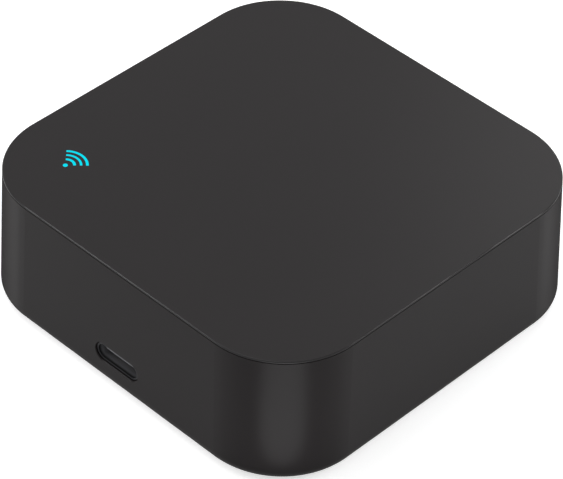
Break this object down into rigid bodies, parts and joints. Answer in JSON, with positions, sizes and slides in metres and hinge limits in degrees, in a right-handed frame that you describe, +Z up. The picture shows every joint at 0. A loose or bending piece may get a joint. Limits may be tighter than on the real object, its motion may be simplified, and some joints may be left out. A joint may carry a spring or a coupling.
{
  "type": "smart infrared controller",
  "caption": "Low square box with rounded corners and a flush top panel that sends infrared commands through its sides, with a power socket in one side and a lit status symbol on top.",
  "frame": {"origin": "centre of the footprint, on the plane that the feet stand on", "axes": "+Z up through the top panel; -Y out through the power socket; +X to the right of the socket, so that the status symbol is near the -X -Y corner"},
  "size_m": [0.0698, 0.0698, 0.0236],
  "materials": {
    "panel_plastic": "fine satin moulding, near black",
    "housing_plastic": "fine satin moulding, near black",
    "base_plastic": "fine spark texture, black",
    "tape": "black double-sided tape",
    "foot_rubber": "moulded black rubber",
    "screw_steel": "black zinc plate",
    "board_laminate": "solder mask over glass laminate",
    "radio_laminate": "dark solder mask over glass laminate",
    "socket_steel": "bright rolled sheet",
    "socket_plastic": "moulded black liquid crystal polymer",
    "contact_gold": "thin gold plate",
    "button_plastic": "satin grey moulding",
    "switch_plastic": "moulded black plastic",
    "switch_steel": "stamped sheet",
    "plunger_plastic": "moulded black plastic",
    "tinned_metal": "tin plate",
    "guide_plastic": "clear moulding lit cyan from below",
    "sleeve_rubber": "black silicone",
    "lamp_resin": "clear resin over the lamp chip",
    "emitter_resin": "water-clear epoxy with a faint violet tint",
    "receiver_resin": "dark epoxy that passes infrared",
    "shield_steel": "tinned sheet",
    "can_aluminium": "drawn and lacquered",
    "chip_resin": "moulded black epoxy",
    "inductor_ferrite": "pressed dark grey ferrite",
    "resistor_ceramic": "black glaze on white alumina",
    "capacitor_ceramic": "fired tan ceramic"
  },
  "bodies": {
    "case": {"top_panel": "panel_plastic", "panel_tape": "tape", "housing": "housing_plastic", "base_plate": "base_plastic", "foot_front_left": "foot_rubber", "foot_front_right": "foot_rubber", "foot_back_left": "foot_rubber", "foot_back_right": "foot_rubber", "case_screws": "screw_steel", "board_screws": "screw_steel", "circuit_board": "board_laminate", "socket_shell": "socket_steel", "socket_insulator": "socket_plastic", "socket_contacts": "contact_gold", "switch_body": "switch_plastic", "switch_cover": "switch_steel", "switch_dome": "switch_steel", "switch_legs": "tinned_metal", "light_guide": "guide_plastic", "light_sleeve": "sleeve_rubber", "status_lamp": "lamp_resin", "emitter_leads": "tinned_metal", "receiver": "receiver_resin", "receiver_leads": "tinned_metal", "radio_board": "radio_laminate", "radio_shield": "shield_steel", "radio_antenna": "contact_gold", "capacitor_can": "can_aluminium", "capacitor_base": "switch_plastic", "regulator": "chip_resin", "control_chip": "chip_resin", "drive_transistors": "chip_resin", "chip_leads": "tinned_metal", "power_inductor": "inductor_ferrite", "rectifier_diode": "chip_resin", "chip_resistors": "resistor_ceramic", "chip_capacitors": "capacitor_ceramic", "emitter_top": "emitter_resin", "emitter_front": "emitter_resin", "emitter_back": "emitter_resin", "emitter_right_front": "emitter_resin", "emitter_right_back": "emitter_resin", "emitter_left_front": "emitter_resin", "emitter_left_back": "emitter_resin"},
    "reset_button": {"reset_button": "button_plastic", "switch_plunger": "plunger_plastic"}
  },
  "joints": [
    {"name": "reset_button_press", "type": "slide", "parent": "case", "child": "reset_button", "axis": [0, 0, 1], "range_m": [0, 0.0003], "stiffness_N_per_m": 3000, "deforming": ["switch_dome"]}
  ]
}
